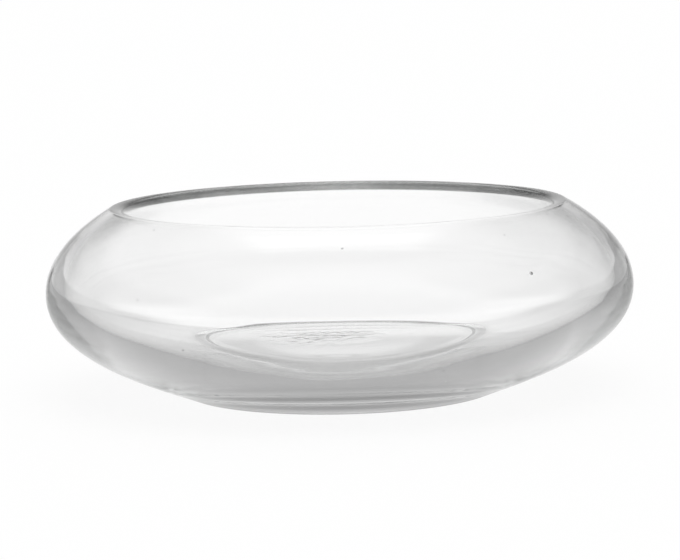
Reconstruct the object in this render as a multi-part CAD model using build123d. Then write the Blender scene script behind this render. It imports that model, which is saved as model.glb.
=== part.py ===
from build123d import *
import math
import os

# A squat bowl of clear blown glass with an in-turned shoulder and a wide mouth, in which candles float on
# water. It is one piece of glass, turned about +Z. The origin is the middle of its foot, on the table.
# Sizes are in millimetres and angles in degrees.

# Outside
belly_diameter = 300.0      # across the widest ring
belly_height = 53.0         # of the widest ring above the table
bowl_height = 96.0          # of the lip's crest above the table
mouth_diameter = 219.0      # clear opening inside the lip

# Foot: a ring ground flat for the bowl to stand on, round a shallow hollow with a small step at its edge
foot_diameter = 160.0
ring_width = 6.0            # of the flat ring
hollow_step = 1.0           # rise of the step at the hollow's edge
step_width = 3.0            # of the step's slope, measured along the table
hollow_depth = 1.5          # from the table to the hollow's crown
polished_edge = 1.2         # radius on the step's top and bottom edges

# Pontil mark: a small dish ground out of the hollow's crown, where the glass was cracked off its iron
pontil_diameter = 52.0
pontil_depth = 0.5

# Lip: fire-polished, with a round outer side, a broad top and a tight inner edge
lip_round = 3.0             # radius of the outer side
lip_width = 5.5             # from the inner edge out to the crest
edge_drop = 1.8             # of the inner edge below the crest
lip_undercut = 2.5          # from the inner edge out to the start of the inner skin

# Thickness of the glass
lip_thickness = 5.4         # from the crest down to the start of the inner skin
belly_wall = 9.2            # at the widest ring
floor_thickness = 8.0       # from the hollow's crown to the inner floor
inner_belly_rise = 1.9      # of the inside's widest ring above the outside's

# Inner floor: level in the middle, so that the bottom is an even pane
floor_diameter = 132.0      # of the level part

# Rounds of the skin at its widest ring, where the curves below and above it have the same radius
belly_round = 30.0          # outside
inner_belly_round = 17.0

# Slopes of the skin
heel_slope = 20.0           # rise of the outer skin where it leaves the foot
shoulder_slope = 30.0       # fall of the shoulder where it leaves the lip

# Fullness of each curve, as the share of its run that its end tangent is held for
heel_fullness = 0.47        # outside, leaving the foot
shoulder_fullness = 0.69    # outside, reaching the lip
inner_shoulder_fullness = 0.80
inner_floor_fullness = 0.107
round_fullness = 0.55       # lip, as a quarter of an ellipse has it


def at(radius, height):
    """A point of the half section, which lies in the XZ plane."""
    return Vector(radius, 0, height)


def along(slope):
    """A direction of the half section that runs outwards and falls by the slope."""
    fall = math.radians(slope)
    return Vector(math.cos(fall), 0, -math.sin(fall))


# Places of the section that several curves share
belly_radius = belly_diameter / 2
foot_radius = foot_diameter / 2
hollow_radius = foot_radius - ring_width
pontil_radius = pontil_diameter / 2
shoulder_fall = along(shoulder_slope)
lip_out = along(shoulder_slope - 90)     # square to the shoulder, away from the glass
lip_edge = at(mouth_diameter / 2, bowl_height - edge_drop)
lip_crest = at(lip_edge.X + lip_width, bowl_height)
lip_outside = lip_crest - at(0, lip_round) + lip_out * lip_round
lip_inside = at(lip_edge.X + lip_undercut, bowl_height - lip_thickness)
belly_outside = at(belly_radius, belly_height)
belly_inside = at(belly_radius - belly_wall, belly_height + inner_belly_rise)
floor_height = hollow_depth + floor_thickness
floor_centre = at(0, floor_height)
floor_edge = at(floor_diameter / 2, floor_height)
foot_edge = at(foot_radius, 0)
hollow_edge = at(hollow_radius, 0)
step_top = at(hollow_radius - step_width, hollow_step)
pontil_edge = at(pontil_radius, hollow_depth)
pontil_centre = at(0, hollow_depth + pontil_depth)


def underside():
    """The pontil mark's dish, the hollow's slope, its step and the ground ring."""
    return [
        TangentArc(pontil_centre, pontil_edge, tangent=along(0)),
        Line(pontil_edge, step_top),
        Line(step_top, hollow_edge),
        Line(hollow_edge, foot_edge),
    ]


def upright_handle(belly, far_handle, radius):
    """The handle that gives a curve this radius where it leaves its widest ring upright."""
    depth = belly.X - far_handle.X
    return at(0, math.sqrt(2 / 3 * radius * depth))


def outer_skin():
    """Heel and shoulder: two curves that meet upright, and equally round, at the belly."""
    heel = foot_edge + along(-heel_slope) * (heel_fullness * (belly_radius - foot_radius))
    shoulder = lip_outside + shoulder_fall * (shoulder_fullness * (belly_radius - lip_outside.X))
    below = belly_outside - upright_handle(belly_outside, heel, belly_round)
    above = belly_outside + upright_handle(belly_outside, shoulder, belly_round)
    return [
        Bezier(foot_edge, heel, below, belly_outside),
        Bezier(belly_outside, above, shoulder, lip_outside),
    ]


def lip():
    """The round that the fire leaves on the wall's cut edge: its outer side, its top and its inner side."""
    top_handle = at(round_fullness * lip_width, 0)
    edge_handle = at(0, round_fullness * edge_drop)
    face_handle = at(0, round_fullness * (lip_edge.Z - lip_inside.Z))
    under_handle = shoulder_fall * (round_fullness * lip_undercut)
    return [
        TangentArc(lip_outside, lip_crest, tangent=-shoulder_fall),
        Bezier(lip_crest, lip_crest - top_handle, lip_edge + edge_handle, lip_edge),
        Bezier(lip_edge, lip_edge - face_handle, lip_inside - under_handle, lip_inside),
    ]


def inner_skin():
    """Inside of the shoulder, one full curve down from the belly, and the level floor."""
    shoulder = lip_inside + shoulder_fall * (inner_shoulder_fullness * (belly_inside.X - lip_inside.X))
    floor = floor_edge + at(inner_floor_fullness * (belly_inside.X - floor_edge.X), 0)
    above = belly_inside + upright_handle(belly_inside, shoulder, inner_belly_round)
    below = belly_inside - upright_handle(belly_inside, floor, inner_belly_round)
    return [
        Bezier(lip_inside, shoulder, above, belly_inside),
        Bezier(belly_inside, below, floor, floor_edge),
        Line(floor_edge, floor_centre),
    ]


def is_step_edge(circle):
    """Whether a circle is the top or the bottom edge of the hollow's step."""
    return any(math.isclose(circle.radius, point.X) for point in (step_top, hollow_edge))


def glass_bowl():
    """The whole bowl, turned from its half section."""
    axis_line = Line(floor_centre, pontil_centre)
    section = make_face(underside() + outer_skin() + lip() + inner_skin() + [axis_line])
    bowl = revolve(section, Axis.Z)
    step_edges = bowl.edges().filter_by(GeomType.CIRCLE).filter_by(is_step_edge)
    return fillet(step_edges, polished_edge)


os.makedirs("parts", exist_ok=True)
export_step(glass_bowl(), "parts/glass_bowl.step")
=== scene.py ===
import math

import bpy
from mathutils import Matrix, Vector


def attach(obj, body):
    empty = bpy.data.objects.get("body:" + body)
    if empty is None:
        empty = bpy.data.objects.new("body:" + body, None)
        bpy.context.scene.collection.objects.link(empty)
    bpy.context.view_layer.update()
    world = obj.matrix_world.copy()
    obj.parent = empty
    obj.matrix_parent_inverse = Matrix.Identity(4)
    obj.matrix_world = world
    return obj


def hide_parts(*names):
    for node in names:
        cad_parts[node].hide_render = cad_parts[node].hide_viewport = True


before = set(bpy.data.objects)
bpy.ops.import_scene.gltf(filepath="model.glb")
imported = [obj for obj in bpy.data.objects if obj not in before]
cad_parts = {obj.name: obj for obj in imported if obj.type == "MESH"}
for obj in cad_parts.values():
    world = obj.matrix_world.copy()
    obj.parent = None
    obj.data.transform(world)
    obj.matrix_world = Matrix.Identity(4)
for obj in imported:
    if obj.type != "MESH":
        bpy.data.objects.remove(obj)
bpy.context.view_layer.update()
scene = bpy.context.scene
mm = 0.001
mathNode, vectorNode, rangeNode = "ShaderNodeMath", "ShaderNodeVectorMath", "ShaderNodeMapRange"


# adds one node: settings go to its properties, and feeds, by name or index, to its inputs, where a socket
# is linked and anything else is set as the value
def addNode(tree, kind, feeds=None, **settings):
    node = tree.nodes.new(kind)
    for name, value in settings.items():
        setattr(node, name, value)
    for name, value in (feeds or {}).items():
        if isinstance(value, bpy.types.NodeSocket):
            tree.links.new(value, node.inputs[name])
        else:
            node.inputs[name].default_value = value
    return node


# sRGB hex to the linear colour that shaders take
def hexColour(text):
    channels = [int(text[i:i + 2], 16) / 255 for i in (1, 3, 5)]
    linear = [c / 12.92 if c <= 0.04045 else ((c + 0.055) / 1.055) ** 2.4 for c in channels]
    return (*linear, 1.0)


# Bowl: sizes in millimetres, as the solid has them, and the marks that hand blowing leaves
bowl = {
    "bellyDiameter": 300.0,
    "bellyHeight": 53.0,
    "height": 96.0,
    "mouthDiameter": 219.0,
    "footDiameter": 160.0,
    "ringWidth": 6.0,
    "hollowStep": 1.0,
    "stepWidth": 3.0,
    "hollowDepth": 1.5,
    "pontilDiameter": 52.0,
    "pontilDepth": 0.5,
    "lipRound": 3.0,
    "lipWidth": 5.5,
    "edgeDrop": 1.8,
    "lipUndercut": 2.5,
    "lipThickness": 5.4,
    "bellyWall": 9.2,
    "floorDiameter": 132.0,         # level part of the inner floor
    "floorThickness": 8.0,
    "innerBellyRise": 1.9,
    "bellyRound": 30.0,             # radius of the skin's curve at the widest ring
    "innerBellyRound": 17.0,
    "heelSlope": 20.0,              # degrees
    "shoulderSlope": 30.0,
    "heelFullness": 0.47,           # shares of a run that its end tangent is held for
    "shoulderFullness": 0.69,
    "innerShoulderFullness": 0.80,
    "innerFloorFullness": 0.107,
    "hollowFullness": 0.35,
    "roundFullness": 0.55,
    "pointsPerCurve": 26,           # along the section, between two of its knots
    "segments": 300,                # round the bowl
    "weld": 0.002,                  # gap that is closed at the seam and the poles
    "waveHeight": 0.10,             # slow swell of the blown wall
    "waveLength": 60.0,
    "turnHeight": 0.05,             # fine marks that run round the bowl
    "turnLength": 7.0,
    "turnDrift": 0.04,              # how far they wander on their way round, as a share
    "footFade": 3.0,                # height above the table where swell and marks are full
    "rippleHeight": 1.8,            # crinkled glass in the pontil mark
    "rippleLength": 7.0,
    "rippleRadius": 40.0,
    "rippleCentre": (-12.0, 5.0),
    "undersideHeight": 6.0,         # below this lies only the underside
    "bubbleSize": 1.8,              # seeds: small bubbles shut in the wall
    "smallestBubble": 0.72,
    "bubbleDepth": 2.6,
    "bubbleGap": 60.0,              # from one to the next, at least
    "bubblesPerSquareMetre": 90.0,
    "bubbleSeed": 171,
    "seed": 4.0,
}


# handle that gives a curve this radius where it leaves the widest ring upright; its other handle lies at this
# depth inside the ring
def bellyReach(radius, depth):
    return math.sqrt(radius * depth * 2 / 3)


# the half section as one Bezier spline in the XZ plane, from under the foot round to the inner floor
def bowlSection(size):
    slope = math.radians(size["shoulderSlope"])
    heel = math.radians(size["heelSlope"])
    none, level, upright = Vector((0, 0)), Vector((1, 0)), Vector((0, 1))
    fall = Vector((math.cos(slope), -math.sin(slope)))         # down the shoulder
    lipOut = Vector((math.sin(slope), math.cos(slope)))        # square to it
    heelRise = Vector((math.cos(heel), math.sin(heel)))
    bellyRadius, footRadius, floorRadius, pontilRadius = (
        size[name] / 2 for name in ("bellyDiameter", "footDiameter", "floorDiameter", "pontilDiameter"))

    # places
    crown = Vector((pontilRadius, size["hollowDepth"]))
    hollowRadius = footRadius - size["ringWidth"]
    stepTop = Vector((hollowRadius - size["stepWidth"], size["hollowStep"]))
    bellyOut = Vector((bellyRadius, size["bellyHeight"]))
    bellyIn = Vector((bellyRadius - size["bellyWall"], size["bellyHeight"] + size["innerBellyRise"]))
    lipEdge = Vector((size["mouthDiameter"] / 2, size["height"] - size["edgeDrop"]))
    lipCrest = Vector((lipEdge.x + size["lipWidth"], size["height"]))
    lipOutside = lipCrest + (lipOut - upright) * size["lipRound"]
    lipInside = Vector((lipEdge.x + size["lipUndercut"], size["height"] - size["lipThickness"]))
    floorHeight = size["hollowDepth"] + size["floorThickness"]

    # handles; a straight run has them at its thirds
    dish = level * (pontilRadius / 3)
    dishFall = Vector((pontilRadius / 3, -size["pontilDepth"] * 2 / 3))
    hollow = level * (size["hollowFullness"] * (stepTop.x - crown.x))
    step = level * (size["stepWidth"] / 2)
    ring = level * (size["ringWidth"] / 3)
    heelRun = heelRise * (size["heelFullness"] * (bellyRadius - footRadius))
    shoulder = fall * (size["shoulderFullness"] * (bellyRadius - lipOutside.x))
    below = upright * bellyReach(size["bellyRound"], bellyRadius - footRadius - heelRun.x)
    above = upright * bellyReach(size["bellyRound"], bellyRadius - lipOutside.x - shoulder.x)
    lipRound = size["lipRound"] * 4 / 3 * math.tan(slope / 4)  # of an arc that turns by the slope
    lipTop = level * (size["roundFullness"] * size["lipWidth"])
    lipDrop = upright * (size["roundFullness"] * size["edgeDrop"])
    lipFace = upright * (size["roundFullness"] * (lipEdge.y - lipInside.y))
    lipUnder = fall * (size["roundFullness"] * size["lipUndercut"])
    innerShoulder = fall * (size["innerShoulderFullness"] * (bellyIn.x - lipInside.x))
    wall = level * (size["innerFloorFullness"] * (bellyIn.x - floorRadius))
    innerAbove = upright * bellyReach(size["innerBellyRound"], bellyIn.x - lipInside.x - innerShoulder.x)
    innerBelow = upright * bellyReach(size["innerBellyRound"], bellyIn.x - floorRadius - wall.x)
    floor = level * (floorRadius / 3)

    # knot, handle before it, handle after it
    knots = [
        (Vector((0, size["hollowDepth"] + size["pontilDepth"])), none, dish),
        (crown, -dishFall, hollow),
        (stepTop, -hollow, step),
        (Vector((hollowRadius, 0)), -step, ring),
        (Vector((footRadius, 0)), -ring, heelRun),
        (bellyOut, -below, above),
        (lipOutside, shoulder, -fall * lipRound),
        (lipCrest, level * lipRound, -lipTop),
        (lipEdge, lipDrop, -lipFace),
        (lipInside, -lipUnder, innerShoulder),
        (bellyIn, innerAbove, -innerBelow),
        (Vector((floorRadius, floorHeight)), wall, -floor),
        (Vector((0, floorHeight)), floor, none),
    ]
    curve = bpy.data.curves.new("bowlSection", "CURVE")
    curve.dimensions = "3D"
    spline = curve.splines.new("BEZIER")
    spline.bezier_points.add(len(knots) - 1)
    spline.resolution_u = size["pointsPerCurve"]
    for point, (place, before, after) in zip(spline.bezier_points, knots):
        point.handle_left_type = point.handle_right_type = "FREE"
        point.co = (place.x * mm, 0, place.y * mm)
        point.handle_left = ((place + before).x * mm, 0, (place + before).y * mm)
        point.handle_right = ((place + after).x * mm, 0, (place + after).y * mm)
    return bpy.data.objects.new("bowlSection", curve)


# turns a section about Z and gives the wall its swell, turning marks, crinkled pontil mark and seeds
def turnedGlassTree():
    tree = bpy.data.node_groups.new("turnedGlass", "GeometryNodeTree")
    sizes = ("Weld", "Wave Height", "Wave Length", "Turn Height", "Turn Length", "Turn Drift", "Foot Fade",
             "Ripple Height", "Ripple Length", "Ripple Radius", "Underside Height", "Bubble Size",
             "Smallest Bubble", "Bubble Depth", "Bubble Gap", "Bubble Density", "Seed")
    sockets = {"Section": "Geometry", "Segments": "Int", **dict.fromkeys(sizes, "Float"),
               "Bubble Seed": "Int", "Ripple Centre": "Vector", "Glass": "Material"}
    for name, kind in sockets.items():
        tree.interface.new_socket(name, in_out="INPUT", socket_type="NodeSocket" + kind)
    tree.interface.new_socket("Bowl", in_out="OUTPUT", socket_type="NodeSocketGeometry")
    given = addNode(tree, "NodeGroupInput").outputs

    # one row of the grid for each point of the section, one column for each step round the bowl
    points = addNode(tree, "GeometryNodeCurveToPoints", {"Curve": given["Section"]},
                     mode="EVALUATED").outputs[0]
    count = addNode(tree, "GeometryNodeAttributeDomainSize", {0: points},
                    component="POINTCLOUD").outputs["Point Count"]
    columns = addNode(tree, mathNode, {0: given["Segments"], 1: 1.0}, operation="ADD").outputs[0]
    grid = addNode(tree, "GeometryNodeMeshGrid", {"Vertices X": columns, "Vertices Y": count,
                                                  "Size X": 1.0, "Size Y": 1.0}).outputs["Mesh"]
    place = addNode(tree, "GeometryNodeInputPosition").outputs[0]
    flat = addNode(tree, vectorNode, {0: place, 1: (0.5, 0.5, 0.0)}, operation="ADD").outputs[0]
    share = addNode(tree, "ShaderNodeSeparateXYZ", {0: flat}).outputs      # from 0 to 1 each way
    lastRow = addNode(tree, mathNode, {0: count, 1: 1.0}, operation="SUBTRACT").outputs[0]
    row = addNode(tree, mathNode, {0: share["Y"], 1: lastRow}, operation="MULTIPLY").outputs[0]
    rowIndex = addNode(tree, mathNode, {0: row}, operation="ROUND").outputs[0]
    sample = addNode(tree, "GeometryNodeSampleIndex", {"Geometry": points, "Value": place, "Index": rowIndex},
                     data_type="FLOAT_VECTOR", domain="POINT").outputs["Value"]
    section = addNode(tree, "ShaderNodeSeparateXYZ", {0: sample}).outputs
    angle = addNode(tree, mathNode, {0: share["X"], 1: math.tau}, operation="MULTIPLY").outputs[0]
    cosine = addNode(tree, mathNode, {0: angle}, operation="COSINE").outputs[0]
    sine = addNode(tree, mathNode, {0: angle}, operation="SINE").outputs[0]
    east = addNode(tree, mathNode, {0: section["X"], 1: cosine}, operation="MULTIPLY").outputs[0]
    north = addNode(tree, mathNode, {0: section["X"], 1: sine}, operation="MULTIPLY").outputs[0]
    turned = addNode(tree, "ShaderNodeCombineXYZ", {"X": east, "Y": north, "Z": section["Z"]}).outputs[0]
    mapped = addNode(tree, "GeometryNodeStoreNamedAttribute",
                     {"Geometry": grid, "Value": flat, "Name": "UVMap"},
                     data_type="FLOAT2", domain="CORNER").outputs[0]
    body = addNode(tree, "GeometryNodeSetPosition", {"Geometry": mapped, "Position": turned}).outputs[0]
    joined = addNode(tree, "GeometryNodeMergeByDistance",
                     {"Geometry": body, "Distance": given["Weld"]}).outputs[0]

    # slow swell of the wall, marks that run round it and crinkles, each as noise of its own length; noise at
    # the rest level lifts nothing, so a rest of 1 only lets the wall sink
    height = addNode(tree, "ShaderNodeSeparateXYZ", {0: place}).outputs["Z"]
    fromAxis = addNode(tree, vectorNode, {0: place, 1: (1.0, 1.0, 0.0)}, operation="MULTIPLY").outputs[0]
    radius = addNode(tree, vectorNode, {0: fromAxis}, operation="LENGTH").outputs["Value"]
    ringPlace = addNode(tree, "ShaderNodeCombineXYZ", {"X": radius, "Y": height}).outputs[0]
    turnPlace = addNode(tree, vectorNode, {0: fromAxis, 1: given["Turn Drift"], 2: ringPlace},
                        operation="MULTIPLY_ADD").outputs[0]
    lifts = {}
    for name, where, rest, detail, twist in (
        ("Wave", place, 1.0, 1.0, 0.0),
        ("Turn", turnPlace, 1.0, 2.0, 0.0),
        ("Ripple", place, 0.5, 3.0, 0.8),
    ):
        scale = addNode(tree, mathNode, {0: 1.0, 1: given[name + " Length"]}, operation="DIVIDE").outputs[0]
        noise = addNode(tree, "ShaderNodeTexNoise",
                        {"Vector": where, "W": given["Seed"], "Scale": scale, "Detail": detail,
                         "Distortion": twist}, noise_dimensions="4D").outputs[0]
        centred = addNode(tree, mathNode, {0: noise, 1: rest}, operation="SUBTRACT").outputs[0]
        doubled = addNode(tree, mathNode, {0: centred, 1: 2.0}, operation="MULTIPLY").outputs[0]
        lifts[name] = addNode(tree, mathNode, {0: doubled, 1: given[name + " Height"]},
                              operation="MULTIPLY").outputs[0]

    # the foot stays flat, and only the pontil mark is crinkled
    offTable = addNode(tree, rangeNode, {"Value": height, "From Max": given["Foot Fade"]}).outputs["Result"]
    offCentre = addNode(tree, vectorNode, {0: fromAxis, 1: given["Ripple Centre"]},
                        operation="DISTANCE").outputs["Value"]
    nearMark = addNode(tree, rangeNode,
                       {"Value": offCentre, "From Min": given["Ripple Radius"], "From Max": 0.0},
                       interpolation_type="SMOOTHSTEP").outputs["Result"]
    underside = addNode(tree, mathNode, {0: height, 1: given["Underside Height"]},
                        operation="LESS_THAN").outputs[0]
    inMark = addNode(tree, mathNode, {0: nearMark, 1: underside}, operation="MULTIPLY").outputs[0]
    uneven = addNode(tree, mathNode, {0: lifts["Wave"], 1: lifts["Turn"]}, operation="ADD").outputs[0]
    settled = addNode(tree, mathNode, {0: uneven, 1: offTable}, operation="MULTIPLY").outputs[0]
    lift = addNode(tree, mathNode, {0: lifts["Ripple"], 1: inMark, 2: settled},
                   operation="MULTIPLY_ADD").outputs[0]
    normal = addNode(tree, "GeometryNodeInputNormal").outputs[0]
    offset = addNode(tree, vectorNode, {0: normal, "Scale": lift}, operation="SCALE").outputs[0]
    blown = addNode(tree, "GeometryNodeSetPosition", {"Geometry": joined, "Offset": offset}).outputs[0]

    # seeds, with their faces turned inwards, since a bubble's inside is air
    spread = addNode(tree, "GeometryNodeDistributePointsOnFaces",
                     {"Mesh": blown, "Distance Min": given["Bubble Gap"],
                      "Density Max": given["Bubble Density"], "Seed": given["Bubble Seed"]},
                     distribute_method="POISSON").outputs
    sink = addNode(tree, mathNode, {0: given["Bubble Depth"], 1: -1.0}, operation="MULTIPLY").outputs[0]
    sunk = addNode(tree, vectorNode, {0: spread["Normal"], "Scale": sink}, operation="SCALE").outputs[0]
    inWall = addNode(tree, "GeometryNodeSetPosition",
                     {"Geometry": spread["Points"], "Offset": sunk}).outputs[0]
    # a ball of diameter 1, scaled to each bubble's size
    ball = addNode(tree, "GeometryNodeMeshIcoSphere", {"Radius": 0.5, "Subdivisions": 3}).outputs["Mesh"]
    hollow = addNode(tree, "GeometryNodeFlipFaces", {"Mesh": ball}).outputs[0]
    ballSize = addNode(tree, "FunctionNodeRandomValue",
                       {2: given["Smallest Bubble"], 3: given["Bubble Size"], "Seed": given["Bubble Seed"]},
                       data_type="FLOAT").outputs[1]
    bubbles = addNode(tree, "GeometryNodeInstanceOnPoints",
                      {"Points": inWall, "Instance": hollow, "Scale": ballSize}).outputs[0]
    seeded = addNode(tree, "GeometryNodeJoinGeometry", {"Geometry": blown})
    tree.links.new(bubbles, seeded.inputs["Geometry"])
    smooth = addNode(tree, "GeometryNodeSetShadeSmooth", {"Geometry": seeded.outputs[0]}).outputs[0]
    real = addNode(tree, "GeometryNodeRealizeInstances", {"Geometry": smooth}).outputs[0]
    dressed = addNode(tree, "GeometryNodeSetMaterial",
                      {"Geometry": real, "Material": given["Glass"]}).outputs[0]
    addNode(tree, "NodeGroupOutput", {"Bowl": dressed})
    return tree


# Clear soda-lime glass, blown and fire-polished: no colour of its own, bright through thin walls, and a
# faint grey-green where light has come a long way inside the wall
glass = {
    "colour": "#FFFFFF",
    "ior": 1.51,
    "roughness": 0.0,
    "tint": "#6A706C",
    "absorbPerMetre": 2.4,
}


def sodaLimeGlass(look):
    material = bpy.data.materials.new("blownSodaLimeGlass")
    material.use_nodes = True
    tree = material.node_tree
    shader = tree.nodes["Principled BSDF"]
    shader.inputs["Base Color"].default_value = hexColour(look["colour"])
    shader.inputs["IOR"].default_value = look["ior"]
    shader.inputs["Roughness"].default_value = look["roughness"]
    shader.inputs["Transmission Weight"].default_value = 1.0
    inside = addNode(tree, "ShaderNodeVolumeAbsorption",
                     {"Color": hexColour(look["tint"]), "Density": look["absorbPerMetre"]})
    tree.links.new(inside.outputs[0], tree.nodes["Material Output"].inputs["Volume"])
    return material


def makeBowl(size, material):
    section = bowlSection(size)
    scene.collection.objects.link(section)
    tree = turnedGlassTree()
    modifier = section.modifiers.new("turnedGlass", "NODES")
    modifier.node_group = tree
    lengths = {
        "Weld": "weld", "Wave Height": "waveHeight", "Wave Length": "waveLength",
        "Turn Height": "turnHeight", "Turn Length": "turnLength", "Foot Fade": "footFade",
        "Ripple Height": "rippleHeight", "Ripple Length": "rippleLength", "Ripple Radius": "rippleRadius",
        "Underside Height": "undersideHeight", "Bubble Size": "bubbleSize",
        "Smallest Bubble": "smallestBubble", "Bubble Depth": "bubbleDepth", "Bubble Gap": "bubbleGap",
    }
    values = {
        **{name: size[key] * mm for name, key in lengths.items()},
        "Segments": size["segments"],
        "Turn Drift": size["turnDrift"],
        "Ripple Centre": [side * mm for side in size["rippleCentre"]] + [0.0],
        "Bubble Density": size["bubblesPerSquareMetre"],
        "Bubble Seed": size["bubbleSeed"],
        "Seed": size["seed"],
        "Glass": material,
    }
    for item in tree.interface.items_tree:
        if item.item_type == "SOCKET" and item.in_out == "INPUT" and item.name in values:
            modifier[item.identifier] = values[item.name]
    bpy.context.view_layer.update()
    evaluated = section.evaluated_get(bpy.context.evaluated_depsgraph_get())
    mesh = bpy.data.meshes.new_from_object(evaluated)
    mesh.name = "blownBowl"
    section.modifiers.remove(modifier)
    bpy.data.objects.remove(section)
    piece = bpy.data.objects.new("blownBowl", mesh)
    scene.collection.objects.link(piece)
    return piece


blownBowl = makeBowl(bowl, sodaLimeGlass(glass))
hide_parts("glass_bowl")
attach(blownBowl, "root")
print("bowl blown,", len(blownBowl.data.polygons), "faces")


# a patch with soft edges: each step is a value, where it is 0 and where it is 1
def softPatch(tree, steps):
    patch = 1.0
    for value, (zero, one) in steps:
        step = addNode(tree, rangeNode, {"Value": value, "From Min": zero, "From Max": one},
                       interpolation_type="SMOOTHSTEP").outputs["Result"]
        patch = addNode(tree, mathNode, {0: patch, 1: step}, operation="MULTIPLY").outputs[0]
    return patch


# takes a share off a level within a soft patch
def shaded(tree, level, share, steps):
    kept = addNode(tree, mathNode, {0: softPatch(tree, steps), 1: -share, 2: 1.0},
                   operation="MULTIPLY_ADD").outputs[0]
    return addNode(tree, mathNode, {0: level, 1: kept}, operation="MULTIPLY").outputs[0]


# Table: matte white paper, even and without gloss, that takes a faint shadow. What the glass shows of it is
# painted
# light and shade: painted white in a wedge that opens to the back, in front and under the bowl's floor,
# painted dim elsewhere, with painted shade from the foot, the heel, a line under the bowl and the right side;
# lengths in metres
table = {
    "size": 24.0,
    "drop": 0.00005,              # below the foot
    "white": "#FFFFFF",
    "roughness": 0.9,
    "shadowShare": 0.08,          # of the seen sheet that takes the bowl's shadow
    "dim": 0.45,                  # painted dim level, as a share of white
    "wedgeStart": -0.25,          # where the wedge has no width
    "wedgeOpening": 0.32,         # half width gained for each metre towards the back
    "wedgeEdge": 0.14,
    "wedgeBack": (-0.115, 0.02),  # where the wedge starts to be white and is white
    "front": (-0.09, -0.21),      # and the sheet's front
    "frontSide": (0.72, 0.24),
    "pane": (0.068, 0.042),       # radius where the painted light that falls through the floor ends and is full
    "ringRadius": 0.077,          # the foot's own shade, where it stands
    "ringReach": 0.007,
    "ringShade": 0.35,
    "heelRadius": 0.072,          # the heel's shade in front of it
    "heelReach": 0.014,
    "heelShade": 0.40,
    "heelFront": (-0.02, -0.06),
    "edgePlace": 0.016,           # thin line of painted shade that runs under the bowl: its place on the axis,
    "edgeSlope": -0.42,           # what it gains for each metre to the side,
    "edgeWidth": 0.006,
    "edgeShade": 0.12,
    "edgeFrom": (0.060, 0.076),   # radius where it starts, outside the foot,
    "edgeEnd": (0.15, 0.11),      # and where it fades to the right
    "nearShade": 0.07,            # painted shade on the line's nearer side
    "rightShade": 0.16,           # of the right side
    "rightFrom": (0.08, 0.30),
}


def paperWithPaintedLight(look):
    material = bpy.data.materials.new("matteWhitePaperWithPaintedLight")
    material.use_nodes = True
    tree = material.node_tree
    paper = tree.nodes["Principled BSDF"]
    paper.inputs["Base Color"].default_value = hexColour(look["white"])
    paper.inputs["Roughness"].default_value = look["roughness"]
    place = addNode(tree, "ShaderNodeTexCoord").outputs["Object"]
    xyz = addNode(tree, "ShaderNodeSeparateXYZ", {0: place}).outputs
    radius = addNode(tree, vectorNode, {0: place}, operation="LENGTH").outputs["Value"]
    sideways = addNode(tree, mathNode, {0: xyz["X"]}, operation="ABSOLUTE").outputs[0]
    opening = look["wedgeOpening"]
    halfWidth = addNode(tree, mathNode, {0: xyz["Y"], 1: opening, 2: -look["wedgeStart"] * opening},
                        operation="MULTIPLY_ADD").outputs[0]
    beyond = addNode(tree, mathNode, {0: sideways, 1: halfWidth}, operation="SUBTRACT").outputs[0]
    edge = addNode(tree, mathNode, {0: xyz["X"], 1: look["edgeSlope"], 2: look["edgePlace"]},
                   operation="MULTIPLY_ADD").outputs[0]
    pastEdge = addNode(tree, mathNode, {0: xyz["Y"], 1: edge}, operation="SUBTRACT").outputs[0]

    # the parts painted white, the brightest of which counts
    lit = 0.0
    for steps in (
        [(beyond, (look["wedgeEdge"], 0.0)), (xyz["Y"], look["wedgeBack"])],
        [(xyz["Y"], look["front"]), (sideways, look["frontSide"])],
        [(radius, look["pane"])],
    ):
        lit = addNode(tree, mathNode, {0: lit, 1: softPatch(tree, steps)}, operation="MAXIMUM").outputs[0]
    level = addNode(tree, mathNode, {0: lit, 1: 1.0 - look["dim"], 2: look["dim"]},
                    operation="MULTIPLY_ADD").outputs[0]

    # the painted shades on them; a line or a ring is soft on both its sides
    ring, ringReach, heel, heelReach, width = (
        look[name] for name in ("ringRadius", "ringReach", "heelRadius", "heelReach", "edgeWidth"))
    onRing = [(radius, (ring - ringReach, ring)), (radius, (ring + ringReach, ring))]
    onHeel = [(radius, (heel - heelReach, heel)), (radius, (heel + heelReach, heel))]
    onEdge = [(pastEdge, (-width, 0.0)), (pastEdge, (width, 0.0))]
    for share, steps in (
        (look["ringShade"], onRing),
        (look["heelShade"], onHeel + [(xyz["Y"], look["heelFront"])]),
        (look["edgeShade"], onEdge + [(xyz["X"], look["edgeEnd"]), (radius, look["edgeFrom"])]),
        (look["nearShade"], [(pastEdge, (width, -width))]),
        (look["rightShade"], [(xyz["X"], look["rightFrom"])]),
    ):
        level = shaded(tree, level, share, steps)

    # glass shows this painted light and shade, the eye sees plain white with some of the shadow
    paintedGlow = addNode(tree, "ShaderNodeEmission", {"Strength": level}).outputs[0]
    bright = addNode(tree, "ShaderNodeEmission", {"Strength": 1.0}).outputs[0]
    path = addNode(tree, "ShaderNodeLightPath").outputs
    seen = addNode(tree, "ShaderNodeMixShader",
                   {0: look["shadowShare"], 1: bright, 2: paper.outputs[0]}).outputs[0]
    byGlass = addNode(tree, mathNode, {0: path["Is Glossy Ray"], 1: path["Is Transmission Ray"]},
                      operation="MAXIMUM").outputs[0]
    unseen = addNode(tree, "ShaderNodeMixShader", {0: byGlass, 1: paper.outputs[0], 2: paintedGlow}).outputs[0]
    final = addNode(tree, "ShaderNodeMixShader", {0: path["Is Camera Ray"], 1: unseen, 2: seen}).outputs[0]
    tree.links.new(final, tree.nodes["Material Output"].inputs["Surface"])
    return material


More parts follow.
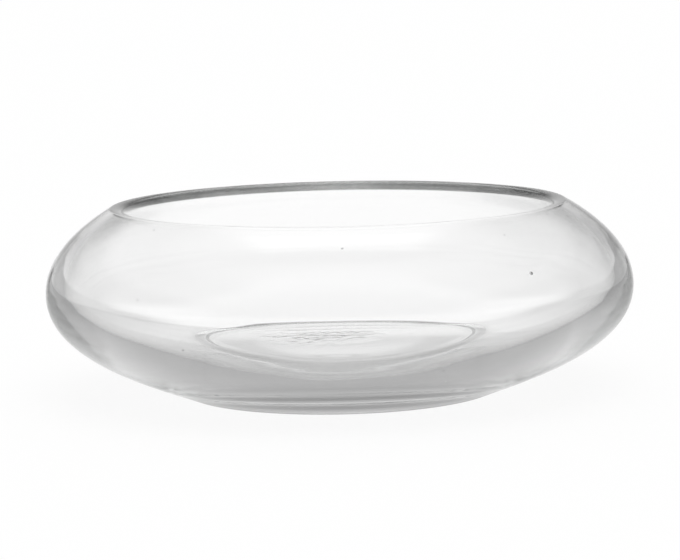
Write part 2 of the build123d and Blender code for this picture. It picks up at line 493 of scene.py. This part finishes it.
def makeTable(look):
    half, top = look["size"] / 2, -look["drop"]
    corners = [(-half, -half, top), (half, -half, top), (half, half, top), (-half, half, top)]
    mesh = bpy.data.meshes.new("paperTable")
    mesh.from_pydata(corners, [], [(0, 1, 2, 3)])
    mesh.materials.append(paperWithPaintedLight(look))
    piece = bpy.data.objects.new("paperTable", mesh)
    scene.collection.objects.link(piece)


makeTable(table)
print("table laid")


# Room: white to the eye; the glass shows a pale sweep, a dark gap above it, a pale ceiling with a broad panel
# at the back, a duller right side and a dark camera side. Places are shares of the view: up, right or back
room = {
    # how far up and how bright
    "heights": ((0.0, 0.87), (0.17, 0.75), (0.34, 0.26), (0.5, 0.71), (0.7, 0.60), (0.87, 0.82), (1.0, 0.99)),
    "frontShade": 0.97,           # of the camera's side
    "frontTurns": (-0.40, -0.87),
    "rightShade": 0.14,
    "rightTurns": (0.10, 0.45),
    "panel": 0.60,
    "panelFoot": (0.31, 0.43),    # where the panel starts above the table
    "panelSide": (0.35, 0.23),    # where it ends sideways
    "panelFront": (0.0, 0.2),     # and towards the camera
}


def makeRoom(look):
    world = bpy.data.worlds.new("studioRoom")
    scene.world = world
    world.use_nodes = True
    tree = world.node_tree
    way = addNode(tree, "ShaderNodeTexCoord").outputs["Generated"]
    xyz = addNode(tree, "ShaderNodeSeparateXYZ", {0: way}).outputs
    heights = addNode(tree, "ShaderNodeValToRGB", {"Fac": xyz["Z"]})
    stops = heights.color_ramp.elements
    while len(stops) < len(look["heights"]):
        stops.new(0.5)
    for stop, (height, level) in zip(stops, look["heights"]):
        stop.position, stop.color = height, (level, level, level, 1.0)
    sideways = addNode(tree, mathNode, {0: xyz["X"]}, operation="ABSOLUTE").outputs[0]
    wall = shaded(tree, heights.outputs["Color"], look["frontShade"], [(xyz["Y"], look["frontTurns"])])
    wall = shaded(tree, wall, look["rightShade"], [(xyz["X"], look["rightTurns"])])
    panel = softPatch(tree, [(sideways, look["panelSide"]), (xyz["Y"], look["panelFront"]),
                             (xyz["Z"], look["panelFoot"])])
    pale = addNode(tree, mathNode, {0: panel, 1: look["panel"], 2: wall}, operation="MULTIPLY_ADD").outputs[0]
    eye = addNode(tree, "ShaderNodeLightPath").outputs["Is Camera Ray"]
    strength = addNode(tree, "ShaderNodeMix", {"Factor": eye, 2: pale, 3: 1.0}, data_type="FLOAT").outputs[0]
    background = tree.nodes["Background"]
    background.inputs["Color"].default_value = (1.0, 1.0, 1.0, 1.0)
    tree.links.new(strength, background.inputs["Strength"])


makeRoom(room)

# Lamp: soft light from above that lays the shadow; the glass doesn't mirror it
skyLamp = {"strength": 1.0, "softness": 50.0, "tilt": (20.0, 8.0), "height": 1.5}     # degrees, metres


def makeLamp(look):
    lamp = bpy.data.lights.new("skyLamp", "SUN")
    lamp.energy = look["strength"]
    lamp.angle = math.radians(look["softness"])
    holder = bpy.data.objects.new("skyLamp", lamp)
    holder.rotation_euler = [math.radians(turn) for turn in (*look["tilt"], 0.0)]
    holder.location.z = look["height"]
    holder.visible_glossy = holder.visible_transmission = False
    scene.collection.objects.link(holder)


makeLamp(skyLamp)

# light goes round many times inside a thick glass wall
bounces = 32
scene.cycles.max_bounces = scene.cycles.glossy_bounces = scene.cycles.transmission_bounces = bounces
scene.view_settings.view_transform = "Standard"
print("room lit")

# Camera: worked out from the bowl's outline in the photograph
view = {
    "distance": 1.5,              # metres, to the aim
    "aimHeight": 0.05,
    "elevation": 7.51,            # degrees
    "pan": 0.012,
    "tilt": -0.22,
    "roll": -1.255,
    "focalPixels": 2930.0,
    "imageWidth": 680.0,
    "sensor": 36.0,               # millimetres
}


def makeCamera(look):
    rise, pan, roll = (math.radians(look[name]) for name in ("elevation", "pan", "roll"))
    down = rise + math.radians(look["tilt"])
    forward = Vector((math.cos(down) * math.sin(pan), math.cos(down) * math.cos(pan), -math.sin(down)))
    right = forward.cross(Vector((0, 0, 1))).normalized()
    up = right.cross(forward)
    right, up = right * math.cos(roll) + up * math.sin(roll), up * math.cos(roll) - right * math.sin(roll)
    camera = bpy.data.cameras.new("photoView")
    camera.sensor_width = look["sensor"]
    camera.lens = look["sensor"] * look["focalPixels"] / look["imageWidth"]
    holder = bpy.data.objects.new("photoView", camera)
    place = Matrix((right, up, -forward)).transposed().to_4x4()
    place.translation = (0, -look["distance"] * math.cos(rise),
                         look["aimHeight"] + look["distance"] * math.sin(rise))
    holder.matrix_world = place
    scene.collection.objects.link(holder)
    scene.camera = holder


makeCamera(view)
